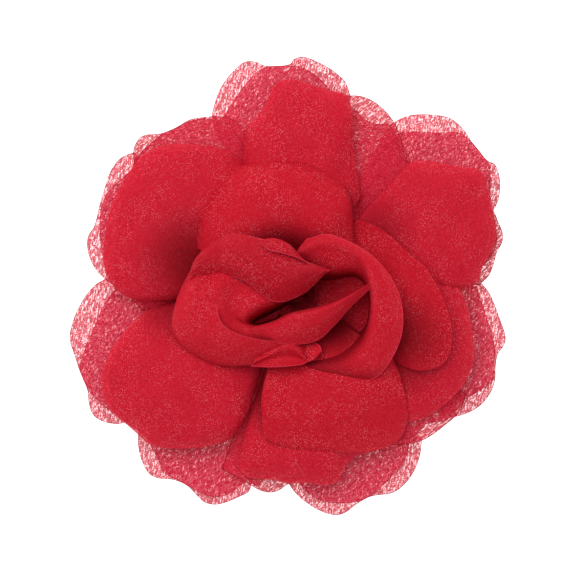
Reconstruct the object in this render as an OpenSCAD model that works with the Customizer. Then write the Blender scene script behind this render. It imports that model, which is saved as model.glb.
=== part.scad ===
// Flower hair clip: layered organza flower sewn to a felt disc, on a sprung steel clip.
// Frame: Z up along the flower's axis, X along the clip, Z = 0 at the clip's flat underside.

/* [Fabric] */
// Thickness of one organza ply
ply_t = 0.4; // [0.3:0.05:0.6]
// Free space between two plies where they are stacked at the hub
ply_gap = 0.15; // [0.1:0.05:0.4]
// How much further out the outer ply of a pair reaches than the inner ply
ply_step = 2.6; // [1:0.2:5]
// How far the inner ply of a pair is turned from the outer ply, in degrees
ply_turn = 3; // [0:0.5:6]

/* [Back blossom] */
// Distance from the axis to the petal tips
back_reach = 55; // [46:0.5:66]
// Width of one petal
back_petal_w = 34; // [26:0.5:42]
// How far the petals rise above their hub
back_rise = 1.6; // [0.5:0.1:3]

/* [Middle blossom] */
// Distance from the axis to the petal tips
middle_reach = 50; // [40:0.5:60]
// Width of one petal
middle_petal_w = 33; // [25:0.5:40]
// How far the petals rise above their hub
middle_rise = 5; // [4:0.1:7]

/* [Front blossom] */
// Distance from the axis to the petal tips
front_reach = 48; // [38:0.5:58]
// Width of one petal
front_petal_w = 37; // [28:0.5:44]
// How far the petals rise above their hub
front_rise = 11; // [9:0.1:14]

/* [Cup petals] */
// Distance from the axis to the rim of the four cup petals
cup_reach = 36; // [30:0.5:43]
// Width of a cup petal
cup_petal_w = 38; // [30:0.5:44]
// How far the cup petals rise above their hub
cup_rise = 16; // [14.5:0.5:17]

/* [Heart] */
// Distance from the axis to the rim of the outermost heart petal
heart_reach = 26; // [21:0.5:31]
// How far the heart petals rise above their hub
heart_rise = 20; // [19:0.5:24]
// Outer radius of the rolled core
core_r = 5; // [4.2:0.1:5.6]
// Height of the rolled core above its hub
core_rise = 15; // [12:0.5:17]

/* [Felt and thread] */
// Diameter of the felt disc
felt_d = 45; // [36:1:54]
// Thickness of the felt
felt_t = 1.2; // [1:0.1:2]
// Diameter of the binding thread
thread_d = 1.2; // [0.8:0.1:1.6]
// Diameter of the thread's knots
knot_d = 2.8; // [2.2:0.1:3.4]
// Height of a knot
knot_h = 0.8; // [0.6:0.1:0.9]
// Radial clearance of the thread in the plies, and of the knot in the felt
thread_clear = 0.2; // [0.1:0.05:0.4]
// Thickness of the glue between felt and clip
glue_t = 0.4; // [0.2:0.1:0.8]

/* [Clip] */
// Length of the clip
clip_l = 54; // [45:1:65]
// Width of the upper jaw
clip_w = 9; // [8:0.25:11]
// Thickness of the sheet steel
steel_t = 0.7; // [0.5:0.05:0.9]
// Height of the free space between the two jaws
jaw_gap = 6.2; // [5.5:0.1:7.5]
// Length of the lower jaw's slope up to the tip
slope_l = 12; // [9:0.5:15]
// Distance from the hinge axis to the handles' end
handle_l = 18; // [15:0.5:21]
// Outer radius of the hinge ears
ear_r = 2.2; // [1.9:0.05:2.5]
// Side clearance between the ears of the two jaws
ear_clear = 0.2; // [0.15:0.05:0.35]
// Free space between the jaws at the closed tip
tip_clear = 0.1; // [0.05:0.05:0.3]
// Distance between two teeth
tooth_pitch = 2; // [1.6:0.1:2.6]
// Depth of a tooth
tooth_h = 1; // [0.6:0.1:1.3]
// Number of teeth on each side of a jaw
tooth_count = 5; // [3:1:6]
// Height of the toothed side walls
wall_h = 1; // [0.8:0.1:1.2]

/* [Hinge] */
// Diameter of the hinge pin
pin_d = 1.8; // [1.5:0.1:2]
// Radial running clearance of the pin in the ears
pin_clear = 0.05; // [0.02:0.01:0.08]
// Diameter of the pin's two heads
head_d = 3; // [2.6:0.1:3.6]
// Thickness of a head
head_t = 0.5; // [0.4:0.1:0.8]
// Diameter of the spring's wire
wire_d = 0.8; // [0.6:0.05:0.9]
// Radial space between the pin and the spring's coil
coil_clear = 0.4; // [0.2:0.05:0.5]
// Number of whole turns in the spring's coil
coil_turns = 3; // [2:1:3]
// Length of each spring leg
leg_l = 12; // [9:0.5:14]
// Space between a spring leg's end and the jaw it presses on
leg_clear = 0.05; // [0.02:0.01:0.1]

/* [Hidden] */
$fn = 64;

organza = "crimson";
steel = "silver";

// Heights of the stack, from the table up
lower_top = steel_t;
upper_bottom = lower_top + jaw_gap;
upper_top = upper_bottom + steel_t;
felt_bottom = upper_top + glue_t;
felt_top = felt_bottom + felt_t;
stack_step = ply_t + ply_gap;

// The hinge sits half way between the jaws, and a handle's length from their end
handle_end_x = clip_l / 2;
tip_x = -clip_l / 2;
hinge_x = handle_end_x - handle_l;
hinge_z = lower_top + jaw_gap / 2;
ear_out_y = clip_w / 2;
inner_ear_y = ear_out_y - steel_t - ear_clear;
lower_w = 2 * inner_ear_y;
pin_hole_d = pin_d + 2 * pin_clear;
coil_r = pin_d / 2 + coil_clear + wire_d / 2;
coil_half_y = inner_ear_y - steel_t - wire_d / 2 - ear_clear;
thread_hole_r = thread_d / 2 + thread_clear;
core_floor_r = knot_d / 2 + thread_clear;
blossom_hub_r = 12;
core_level = 14;
last_blossom_level = 5;
last_cup_level = 9;
pair_lift = 0.8;
cup_lift = 0.7;
heart_lift = 0.9;
back_crest = 36;
middle_crest = 34;
front_crest = 32;
cup_crest = 24;
core_crest_share = 0.85;
neck_share = 0.2;
flank_share = 0.48;
rim_margin = 1;
rise_steps = 7;
flat_droop = 0.0015;
front_droop = 0.004;
cup_droop = 0.015;
heart_droop = 0.03;
heart_spread = 1.6;
cup_spread = 0.6;
blossom_spread = 0.4;
glue_end_inset = 4;
glue_side_inset = 0.5;
nose_overlap = 0.5;
handle_corner = 2;
nose_flat = 1.5;
leg_steps = 4;
slop = 0.01;
above_all = 100;

// Petals of each blossom: [direction in degrees, how far the tip is past the blossom's reach]
back_petals = [[92, 0], [43, 1], [-17, -1], [-72, 1], [-115, 1], [-165, -1], [147, -4.5]];
middle_petals = [[65, -1], [15, 2], [-40, 2], [-92, -2], [-145, 0], [172, -1], [124, -1]];
front_petals = [[16, 3], [85, 1.5], [154, -3], [220, 2], [263, 0], [335, -2.5]];

// Cup petals: [level in the stack, direction, how far the rim is past the cup's reach, how much wider it is]
cup_bottom = [6, 291, 4, -2];
cup_top = [7, 98, -2, 0];
cup_left = [8, 207, -6, -4];
cup_right = [9, -2, 3, 4];

// Heart petals: [level, first direction, turn covered, radius of the crest, how far the rim is inside the reach]
heart_right = [10, -55, 145, 20, 0];
heart_flap = [11, 75, 105, 16, 4];
heart_fold = [12, 226, 66, 14, 6];
heart_band = [13, 190, 170, 10, 12];

// A stack level's height at the hub
function level(i) = felt_top + i * stack_step + ply_t / 2;

// Radius of a level's flat foot: each ply starts to rise a little nearer the axis than the one below
function foot_r(i) = core_floor_r + stack_step
    * (heart_spread * min(core_level - i, core_level - last_cup_level)
        + cup_spread * max(0, min(last_cup_level - i, last_cup_level - last_blossom_level))
        + blossom_spread * max(0, last_blossom_level - i));

// Middle line of a ply: flat foot, a sine rise up to the crest, then a droop towards the rim
function ply_z(r, i, crest, rise, droop) =
    level(i) + (r <= foot_r(i) ? 0
    : r <= crest ? rise * sin(90 * (r - foot_r(i)) / (crest - foot_r(i)))
    : rise - droop * pow(r - crest, 2));

function ply_line(i, crest, rim, rise, droop) =
    [for (r = [thread_hole_r, foot_r(i), for (k = [1:rise_steps]) foot_r(i) + (rim - foot_r(i)) * k / rise_steps])
        [r, ply_z(r, i, crest, rise, droop)]];

// A line of points given a thickness, as a closed outline
function unit(v) = v / norm(v);
function side(line, k) =
    let (n = len(line) - 1, d = unit(line[min(k + 1, n)] - line[max(k - 1, 0)])) [-d[1], d[0]];
function thickened(line, t) = concat(
    [for (k = [0:len(line) - 1]) line[k] + side(line, k) * t / 2],
    [for (k = [len(line) - 1:-1:0]) line[k] - side(line, k) * t / 2]);

// A bowl of one ply's thickness, over part of a turn
module bowl(line, from = 0, span = 360) {
    rotate([0, 0, from]) rotate_extrude(angle = span) polygon(thickened(line, ply_t));
}

// Flat pattern of a blossom: a round hub with petals that widen to a round end
module blossom_pattern(petals, reach, w, hub_r) {
    neck = w * neck_share;
    flank = w * flank_share;
    circle(r = hub_r);
    for (p = petals) {
        middle = reach + p[1] - w / 2;
        rotate(p[0]) {
            translate([middle, 0]) circle(d = w);
            polygon([[0, -neck], [middle, -flank], [middle, flank], [0, neck]]);
        }
    }
}

// A layer of petals: the flat pattern laid over a bowl
module blossom(petals, reach, w, turn, line, hub_r) {
    color(organza) intersection() {
        bowl(line);
        rotate(turn) linear_extrude(height = above_all) blossom_pattern(petals, reach, w, hub_r);
    }
}

// A pair of plies shares its petals: the inner ply is a step smaller and lies a little higher
module blossom_ply(i, petals, reach, w, turn, crest, rise, droop) {
    inner = i % 2;
    rim = reach + max([for (p = petals) p[1]]) + rim_margin;
    line = ply_line(i, crest, rim, rise + inner * pair_lift, droop);
    blossom(petals, reach - inner * ply_step, w, inner * turn, line, blossom_hub_r);
}

module back_ply(i) {
    blossom_ply(i, back_petals, back_reach, back_petal_w, ply_turn, back_crest, back_rise, flat_droop);
}

module middle_ply(i) {
    blossom_ply(i, middle_petals, middle_reach, middle_petal_w, -ply_turn, middle_crest, middle_rise, flat_droop);
}

module front_ply(i) {
    blossom_ply(i, front_petals, front_reach, front_petal_w, ply_turn, front_crest, front_rise, front_droop);
}

module back_blossom_outer() { back_ply(0); }

module back_blossom_inner() { back_ply(1); }

module middle_blossom_outer() { middle_ply(2); }

module middle_blossom_inner() { middle_ply(3); }

module front_blossom_outer() { front_ply(4); }

module front_blossom_inner() { front_ply(5); }

// A cup petal: one wide round petal that stands up round the heart
module cup_petal(p) {
    above_first = p[0] - last_blossom_level - 1;
    reach = cup_reach + p[2];
    line = ply_line(p[0], cup_crest + last_cup_level - p[0], reach + rim_margin, cup_rise + above_first * cup_lift,
        cup_droop);
    blossom([[p[1], 0]], reach, cup_petal_w + p[3], 0, line, foot_r(p[0]));
}

module cup_petal_bottom() { cup_petal(cup_bottom); }

module cup_petal_top() { cup_petal(cup_top); }

module cup_petal_left() { cup_petal(cup_left); }

module cup_petal_right() { cup_petal(cup_right); }

// A share of a steep bowl, on a round foot of its own
module rolled_petal(i, from, span, crest, reach, rise) {
    color(organza) {
        bowl(ply_line(i, crest, reach, rise, heart_droop), from, span);
        translate([0, 0, level(i) - ply_t / 2]) difference() {
            cylinder(r = foot_r(i) - slop, h = ply_t);
            translate([0, 0, -slop]) cylinder(r = thread_hole_r, h = ply_t + 2 * slop);
        }
    }
}

module heart_petal(p) {
    above_first = p[0] - last_cup_level - 1;
    rolled_petal(p[0], p[1], p[2], p[3], heart_reach - p[4], heart_rise + above_first * heart_lift);
}

module heart_petal_right() { heart_petal(heart_right); }

module heart_petal_flap() { heart_petal(heart_flap); }

module heart_petal_fold() { heart_petal(heart_fold); }

module heart_petal_band() { heart_petal(heart_band); }

module heart_core() { rolled_petal(core_level, 0, 360, core_r * core_crest_share, core_r, core_rise); }

// Thread through every hub, with one knot let into the felt and one on the core's floor
module binding_thread() {
    foot = felt_top - knot_h;
    head = level(core_level) + ply_t / 2;
    color("firebrick") {
        translate([0, 0, foot]) cylinder(d = knot_d, h = knot_h);
        translate([0, 0, foot + slop]) cylinder(d = thread_d, h = head - foot);
        translate([0, 0, head]) cylinder(d = knot_d, h = knot_h);
    }
}

module felt_backing() {
    color("firebrick") translate([0, 0, felt_bottom]) difference() {
        cylinder(d = felt_d, h = felt_t, $fn = 128);
        translate([0, 0, felt_t - knot_h]) cylinder(d = knot_d + 2 * thread_clear, h = knot_h + slop);
    }
}

// Glue pad between the felt and the upper jaw
module clip_glue() {
    pad_l = felt_d - 2 * glue_end_inset;
    pad_w = clip_w - 2 * glue_side_inset;
    color("ivory") translate([-pad_l / 2, -pad_w / 2, upper_top]) cube([pad_l, pad_w, glue_t]);
}

// Upright plate along X, between two distances from the middle plane, on both sides
module on_both_sides(outside, thickness) {
    for (s = [-1, 1])
        translate([0, s > 0 ? outside : -outside + thickness, 0])
            rotate([90, 0, 0]) linear_extrude(height = thickness) children();
}

// Strip bent along a line in the XZ plane
module strip(line, t, w) {
    translate([0, w / 2, 0]) rotate([90, 0, 0]) linear_extrude(height = w) polygon(thickened(line, t));
}

// Plan outline with a rounded nose and rounded handle end
module jaw_plan(w) {
    nose = w / 2;
    translate([tip_x + nose, 0]) circle(r = nose);
    translate([tip_x + nose, -w / 2]) square([clip_l - nose - handle_corner, w]);
    translate([handle_end_x - handle_corner - slop, -w / 2 + handle_corner])
        square([handle_corner + slop, w - 2 * handle_corner]);
    for (s = [-1, 1])
        translate([handle_end_x - handle_corner, s * (w / 2 - handle_corner)]) circle(r = handle_corner);
}

// One hinge ear, from the jaw's sheet to round the pin
module ear_outline(sheet_z) {
    difference() {
        union() {
            translate([hinge_x, hinge_z]) circle(r = ear_r);
            translate([hinge_x - ear_r, min(sheet_z, hinge_z)]) square([2 * ear_r, abs(sheet_z - hinge_z)]);
        }
        translate([hinge_x, hinge_z]) circle(d = pin_hole_d);
    }
}

// Saw teeth along X, pointing along +Y of the outline, on a wall of wall_h
module teeth_outline() {
    l = tooth_pitch * tooth_count;
    translate([0, -slop]) square([l, wall_h + 2 * slop]);
    for (k = [0:tooth_count - 1])
        translate([k * tooth_pitch, wall_h]) polygon([[0, 0], [tooth_pitch, 0], [tooth_pitch / 2, tooth_h]]);
}

teeth_x = tip_x + clip_w / 2 - nose_overlap;

module upper_jaw() {
    color(steel) {
        intersection() {
            translate([tip_x, -clip_w / 2, upper_bottom]) cube([clip_l, clip_w, steel_t]);
            linear_extrude(height = upper_top + 1) jaw_plan(clip_w);
        }
        on_both_sides(ear_out_y, steel_t) ear_outline(upper_bottom + steel_t / 2);
        on_both_sides(ear_out_y, steel_t)
            translate([teeth_x, upper_bottom]) mirror([0, 1]) teeth_outline();
    }
}

// The lower jaw lies flat on the table and slopes up to the tip
nose_z = upper_bottom - tip_clear - steel_t / 2;
lower_line = [[tip_x, nose_z], [tip_x + nose_flat, nose_z], [tip_x + slope_l, steel_t / 2],
    [handle_end_x, steel_t / 2]];

module lower_jaw() {
    color(steel) {
        intersection() {
            strip(lower_line, steel_t, lower_w);
            linear_extrude(height = upper_top + 1) jaw_plan(lower_w);
        }
        on_both_sides(inner_ear_y, steel_t) ear_outline(steel_t / 2);
    }
}

module hinge_pin() {
    body = 2 * ear_out_y;
    color(steel) translate([hinge_x, 0, hinge_z]) rotate([90, 0, 0]) {
        cylinder(d = pin_d, h = body + 2 * slop, center = true);
        for (s = [-1, 1]) translate([0, 0, s * (body / 2 + head_t / 2)]) cylinder(d = head_d, h = head_t, center = true);
    }
}

// Middle line of the spring: a leg, a coil that climbs along Y, and the other leg
coil_steps = 14;
coil_sweep = 360 * coil_turns + 180;
leg_end_dz = jaw_gap / 2 - wire_d / 2 - leg_clear;
spring_line = concat(
    [for (k = [0:leg_steps - 1])
        [leg_l * (1 - k / leg_steps), -coil_half_y, leg_end_dz + (coil_r - leg_end_dz) * k / leg_steps]],
    [for (k = [0:coil_steps * (coil_turns + 0.5)])
        let (a = 360 * k / coil_steps)
        [-coil_r * sin(a), -coil_half_y + 2 * coil_half_y * a / coil_sweep, coil_r * cos(a)]],
    [for (k = [1:leg_steps])
        [leg_l * k / leg_steps, coil_half_y, -coil_r - (leg_end_dz - coil_r) * k / leg_steps]]);

// Tube of 10 sides along a line that stays close to the XZ plane
module wire_along(line, d) {
    sides = 10;
    n = len(line);
    function ring(k) =
        let (t = unit(line[min(k + 1, n - 1)] - line[max(k - 1, 0)]), u = unit([0, 1, 0] - t * t[1]), v = cross(t, u))
        [for (s = [0:sides - 1]) line[k] + d / 2 * (cos(360 * s / sides) * u + sin(360 * s / sides) * v)];
    polyhedron(
        points = [for (k = [0:n - 1]) each ring(k)],
        faces = concat(
            [[for (s = [sides - 1:-1:0]) s]],
            [for (k = [0:n - 2]) for (s = [0:sides - 1])
                let (a = k * sides + s, b = k * sides + (s + 1) % sides)
                each [[a, b, b + sides], [a, b + sides, a + sides]]],
            [[for (s = [0:sides - 1]) (n - 1) * sides + s]]));
}

module jaw_spring() {
    color("gray") translate([hinge_x, 0, hinge_z]) wire_along(spring_line, wire_d);
}

felt_backing();
clip_glue();
upper_jaw();
lower_jaw();
hinge_pin();
jaw_spring();
binding_thread();
back_blossom_outer();
back_blossom_inner();
middle_blossom_outer();
middle_blossom_inner();
front_blossom_outer();
front_blossom_inner();
cup_petal_top();
cup_petal_bottom();
cup_petal_left();
cup_petal_right();
heart_petal_right();
heart_petal_flap();
heart_petal_fold();
heart_petal_band();
heart_core();
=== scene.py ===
import bpy
import math
from mathutils import Matrix, Vector, noise


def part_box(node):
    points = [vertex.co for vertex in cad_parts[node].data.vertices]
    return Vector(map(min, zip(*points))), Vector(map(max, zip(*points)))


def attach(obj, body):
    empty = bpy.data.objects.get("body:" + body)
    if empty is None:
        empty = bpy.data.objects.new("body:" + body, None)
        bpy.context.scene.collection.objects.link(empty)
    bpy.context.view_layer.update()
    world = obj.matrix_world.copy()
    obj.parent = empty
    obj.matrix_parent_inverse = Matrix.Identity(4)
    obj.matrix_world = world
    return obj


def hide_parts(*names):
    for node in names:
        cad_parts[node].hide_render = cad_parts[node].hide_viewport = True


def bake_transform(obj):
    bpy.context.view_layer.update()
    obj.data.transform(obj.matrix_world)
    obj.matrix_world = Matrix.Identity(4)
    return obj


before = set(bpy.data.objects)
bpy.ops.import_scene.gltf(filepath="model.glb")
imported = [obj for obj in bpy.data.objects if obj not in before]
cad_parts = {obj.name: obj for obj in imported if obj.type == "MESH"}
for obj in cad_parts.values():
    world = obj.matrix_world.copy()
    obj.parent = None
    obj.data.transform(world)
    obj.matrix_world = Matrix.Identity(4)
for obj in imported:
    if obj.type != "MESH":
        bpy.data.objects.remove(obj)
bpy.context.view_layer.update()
mm = 0.001
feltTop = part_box("felt_backing")[1][2] / mm
print("frame loaded, felt top at", round(feltTop, 2), "mm")


def srgb(hexText, alpha=1.0):
    channels = [int(hexText[i:i + 2], 16) / 255 for i in (1, 3, 5)]
    linear = [c / 12.92 if c <= 0.04045 else ((c + 0.055) / 1.055) ** 2.4 for c in channels]
    return (*linear, alpha)


def smooth(x):
    x = min(1.0, max(0.0, x))
    return x * x * (3 - 2 * x)


def newMaterial(name):
    mat = bpy.data.materials.new(name)
    mat.use_nodes = True
    mat.node_tree.nodes.clear()
    return mat


def addNode(mat, kind, settings=None, inputs=None):
    node = mat.node_tree.nodes.new(kind)
    for key, value in (settings or {}).items():
        setattr(node, key, value)
    for key, value in (inputs or {}).items():
        if isinstance(value, bpy.types.NodeSocket):
            mat.node_tree.links.new(value, node.inputs[key])
        else:
            node.inputs[key].default_value = value
    return node


def remap(mat, value, fromMin, fromMax, toMin=0.0, toMax=1.0):
    return addNode(mat, "ShaderNodeMapRange", {"clamp": True},
                   {"Value": value, "From Min": fromMin, "From Max": fromMax,
                    "To Min": toMin, "To Max": toMax}).outputs[0]


def mixValues(mat, factor, a, b):
    return addNode(mat, "ShaderNodeMix", {"data_type": "FLOAT"},
                   {"Factor": factor, "A": a, "B": b}).outputs[0]


def mixTones(mat, factor, a, b):
    return addNode(mat, "ShaderNodeMix", {"data_type": "RGBA"},
                   {"Factor": factor, "A": a, "B": b}).outputs["Result"]


def calculate(mat, operation, a, b):
    return addNode(mat, "ShaderNodeMath", {"operation": operation}, {0: a, 1: b}).outputs[0]


def noiseOfSize(mat, place, sizeMm, inputs):
    return addNode(mat, "ShaderNodeTexNoise", {},
                   {"Vector": place, "Scale": 1 / (sizeMm * mm), **inputs}).outputs["Fac"]


def reliefOf(mat, height, strength, deepMm):
    return addNode(mat, "ShaderNodeBump", {},
                   {"Height": height, "Strength": strength, "Distance": deepMm * mm}).outputs[0]


def surface(mat, inputs):
    shader = addNode(mat, "ShaderNodeBsdfPrincipled", {}, inputs)
    addNode(mat, "ShaderNodeOutputMaterial", {}, {"Surface": shader.outputs[0]})
    return mat


# Organza is woven from single flat filaments with gaps between them, then heat-creased, so one ply
# is a red net over whatever lies behind it and four plies read as solid red. Real filaments are
# 0.05 mm; the creased bundles drawn here are as coarse as they need to be to show.
organzaLook = {
    # One cloth in every layer: these pairs are lit and shaded copies of it, the outer layers painted pinker
    # as painted light and the inner ones darker as painted shade
    "back": ("#ea3a58", "#ac122c"),     # thin place, dense bundle of filaments
    "middle": ("#e22a46", "#b0122a"),   # painted light: the outer blossoms are painted pinker, for light that comes through them
    "front": ("#d62036", "#b81428"),
    "cup": ("#ce1a2e", "#b01020"),
    "heart": ("#c0162a", "#a40e1c"),    # painted shade: darker, for folds that stand close and colour each other's light
    "paintedShade": "#6e0710",       # painted shade: mixed in between plies, where light has gone through cloth several times
    "glint": "#ff8490",      # painted glint: lighter colour painted where flat filaments would mirror the light
    "seal": "#8e1022",       # melted cut edge of a blossom petal
    "innerSeal": "#b81c36",  # the same edge with a second ply over or under it
    "paintedBeadHighlight": "#d03449",       # melted cut edge of a heart petal, thicker, painted lighter as a painted highlight along it
    "bundleMm": 0.3,         # creased bundles of filaments: width and length
    "runMm": 1.3,
    "weftTurn": 71,          # the second set of bundles lies across the first, a little finer
    "weftWidth": 0.9,
    "weftRun": 0.7,
    "weftShare": 0.33,
    "gapAt": 0.43,           # level of the crease pattern below which the net is open
    "gapSoft": 0.05,
    "gapClear": 0.62,        # share of light that a gap and a bundle let through
    "bundleClear": 0.06,
    "sealMm": 0.28,
    "glintMm": 0.25,
    "glintPatchMm": 7,       # painted glints come in patches of about this size
}


def organzaMaterial(name, turn, tones, net, edgeTone="seal", paintedBackGlow=0.0):
    look = organzaLook
    mat = newMaterial(name)
    uv = addNode(mat, "ShaderNodeUVMap", {"uv_map": "weave"}).outputs[0]
    creases = []
    for angle, across, along in ((turn, look["bundleMm"], look["runMm"]),
                                 (turn + look["weftTurn"], look["bundleMm"] * look["weftWidth"],
                                  look["runMm"] * look["weftRun"])):
        turned = addNode(mat, "ShaderNodeMapping", {},
                         {"Vector": uv, "Rotation": (0, 0, math.radians(angle))})
        scaled = addNode(mat, "ShaderNodeMapping", {},
                         {"Vector": turned.outputs[0], "Scale": (1 / across, 1 / along, 1)})
        crease = addNode(mat, "ShaderNodeTexNoise", {"noise_dimensions": "2D"},
                         {"Vector": scaled.outputs[0], "Scale": 1.0, "Detail": 1.5, "Roughness": 0.6,
                          "Distortion": 0.8})
        creases.append(crease.outputs["Fac"])
    weave = mixValues(mat, look["weftShare"], creases[0], creases[1])
    cover = remap(mat, weave, look["gapAt"] - look["gapSoft"], look["gapAt"] + look["gapSoft"],
                  1 - look["gapClear"] * net, 1 - look["bundleClear"] * net)
    edge = addNode(mat, "ShaderNodeUVMap", {"uv_map": "edge"}).outputs[0]
    edgeParts = addNode(mat, "ShaderNodeSeparateXYZ", {}, {0: edge})
    # depth is the strength of the painted shade, carried in the edge map's second coordinate
    fromEdge, depth = edgeParts.outputs[0], edgeParts.outputs[1]
    seal = remap(mat, fromEdge, look["sealMm"], look["sealMm"] * 0.6, 0.0, 0.85)
    alpha = calculate(mat, "MAXIMUM", cover, seal)
    dense = remap(mat, weave, 0.38, 0.64)
    tone = mixTones(mat, dense, srgb(look[tones][0]), srgb(look[tones][1]))
    # painted glint: a small cell picked out at random is painted lighter, more often inside random patches
    # that stand for where the cloth catches the light
    cells = addNode(mat, "ShaderNodeTexVoronoi", {"voronoi_dimensions": "2D", "feature": "F1"},
                    {"Vector": uv, "Scale": 1 / look["glintMm"], "Randomness": 1.0})
    pick = addNode(mat, "ShaderNodeSeparateColor", {}, {0: cells.outputs["Color"]}).outputs[0]
    chosen = remap(mat, pick, 0.66, 0.95)
    near = remap(mat, cells.outputs["Distance"], 0.5, 0.1)
    cloud = addNode(mat, "ShaderNodeTexNoise", {"noise_dimensions": "2D"},
                    {"Vector": uv, "Scale": 1 / look["glintPatchMm"], "Detail": 2.0}).outputs["Fac"]
    patchy = remap(mat, cloud, 0.36, 0.62, 0.2, 0.75)
    paintedGlint = calculate(mat, "MULTIPLY", calculate(mat, "MULTIPLY", chosen, near), patchy)
    withPaintedGlint = mixTones(mat, paintedGlint, tone, srgb(look["glint"]))
    # painted shade: the tone is darkened towards the painted shade colour by that strength
    withPaintedShade = mixTones(mat, depth, withPaintedGlint, srgb(look["paintedShade"]))
    sealed = mixTones(mat, seal, withPaintedShade, srgb(look[edgeTone]))
    return surface(mat, {"Base Color": sealed, "Alpha": alpha, "Roughness": 0.7,
                         "Specular IOR Level": 0.05, "Emission Color": sealed,
                         "Emission Strength": paintedBackGlow})  # painted glow: the cloth gives off its own colour, standing in for light through thin cloth


# A patch is a grid over s, from side to side as -1 to 1, and t, from the foot at 0 to the free rim at 1.
# Beside its weave it carries the distance to the nearest edge in mm, and how much painted shade it gets.
def clothPatch(pointAt, edgeAt, paintedShadeAt, columns, rows):
    verts, faces, weave, edge = [], [], [], []
    for j in range(rows + 1):
        for i in range(columns + 1):
            s = -1 + 2 * i / columns
            t = j / rows
            place, uv = pointAt(s, t)
            verts.append(place)
            weave.append(uv)
            edge.append((edgeAt(s, t), paintedShadeAt(place)))
    for j in range(rows):
        for i in range(columns):
            a = j * (columns + 1) + i
            faces.append((a, a + columns + 1, a + columns + 2, a + 1))
    return verts, faces, weave, edge


def clothPiece(name, patches, material):
    verts, faces, weave, edge = [], [], [], []
    for patch in patches:
        start = len(verts)
        verts += patch[0]
        faces += [tuple(start + k for k in f) for f in patch[1]]
        weave += patch[2]
        edge += patch[3]
    mesh = bpy.data.meshes.new(name)
    mesh.from_pydata([Vector(v) * mm for v in verts], [], faces)
    for layerName, values in (("weave", weave), ("edge", edge)):
        layer = mesh.uv_layers.new(name=layerName)
        for loop in mesh.loops:
            layer.data[loop.index].uv = values[loop.vertex_index]
    mesh.update()
    piece = bpy.data.objects.new(name, mesh)
    bpy.context.collection.objects.link(piece)
    for polygon in mesh.polygons:
        polygon.use_smooth = True
    mesh.materials.append(material)
    return piece


def spline(points, x):
    last = len(points) - 1
    k = min(int(x), last - 1)
    f = x - k
    p1, p2 = points[k], points[k + 1]
    p0 = points[k - 1] if k > 0 else 2 * p1 - p2
    p3 = points[k + 2] if k + 2 <= last else 2 * p2 - p1
    return 0.5 * (2 * p1 + (p2 - p0) * f + (2 * p0 - 5 * p1 + 4 * p2 - p3) * f * f
                  + (3 * p1 - p0 - 3 * p2 + p3) * f ** 3)


petalForm = {"ripple": 0.5, "waves": 7, "crease": 0.5, "creaseMm": 7, "columns": 56, "rows": 40}
# painted shade round the hub, and for petals that give none of their own: x, y, reach in mm, strength
hubShade = (0, 0, 15, 0.8)
farMm = 9  # stands for a place with no edge near it


# A petal runs from a short arc on the hub out to its rim, a line of points in plan, in mm, that goes
# anticlockwise. The bowl gives its height, bow lowers its sides, drop turns its rim down, and paintedShade
# is a place painted darker as painted shade: x, y, how far round it the shade reaches, and how strong it is.
def petalPatch(rim, bowl, lift, trim, bow, drop, paintedShade):
    form = petalForm
    points = [Vector(p) * (1 - trim / Vector(p).length) for p in rim]
    last = len(points) - 1
    foot = bowl["foot"]
    fromAngle = math.atan2(points[0].y, points[0].x)
    span = (math.atan2(points[-1].y, points[-1].x) - fromAngle) % (2 * math.pi)

    def place(s, t):
        angle = fromAngle + span * (0.5 + 0.5 * s)
        start = foot * Vector((math.cos(angle), math.sin(angle)))
        end = spline(points, (s + 1) / 2 * last)
        out = t if drop == 0 else math.sin(math.pi / 2 * t)
        flat = start.lerp(end, out)
        radius = flat.length
        climb = min(1.0, max(0.0, (radius - foot) / (bowl["crest"] - foot)))
        z = bowl["rise"] * math.sin(math.pi / 2 * climb)
        z -= bowl["droop"] * max(0.0, radius - bowl["crest"]) ** 2
        z -= bow * s * s * smooth(1.5 * t) + drop * t ** 4
        z += form["ripple"] * t ** 3 * math.sin(form["waves"] * angle + 0.3 * radius)
        creaseAt = Vector((flat.x, flat.y, 5 * lift)) / form["creaseMm"]
        z += form["crease"] * smooth(2 * t) * noise.noise(creaseAt)
        return Vector((flat.x, flat.y, feltTop + bowl["base"] + lift + z)), (end - start).length

    def pointAt(s, t):
        spot = place(s, t)[0]
        return spot, (spot.x, spot.y)

    def edgeAt(s, t):
        spot, reach = place(s, t)
        toRim = (1 - t) * (reach if drop == 0 else 4 * drop)
        toSide = min((spot - place(1, t)[0]).length, (spot - place(-1, t)[0]).length)
        return min(toRim, toSide)

    def paintedShadeAt(place):
        away = math.hypot(place[0] - paintedShade[0], place[1] - paintedShade[1]) / paintedShade[2]
        return paintedShade[3] * (1 - smooth(away))

    return clothPatch(pointAt, edgeAt, paintedShadeAt, form["columns"], form["rows"])


def hubPatch(bowl, lift):
    def pointAt(s, t):
        angle = math.pi * s
        radius = bowl["foot"] * (1 - t)
        spot = (radius * math.cos(angle), -radius * math.sin(angle), feltTop + bowl["base"] + lift)
        return spot, (spot[0], spot[1])

    return clothPatch(pointAt, lambda s, t: farMm, lambda place: hubShade[3], 36, 3)


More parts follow.
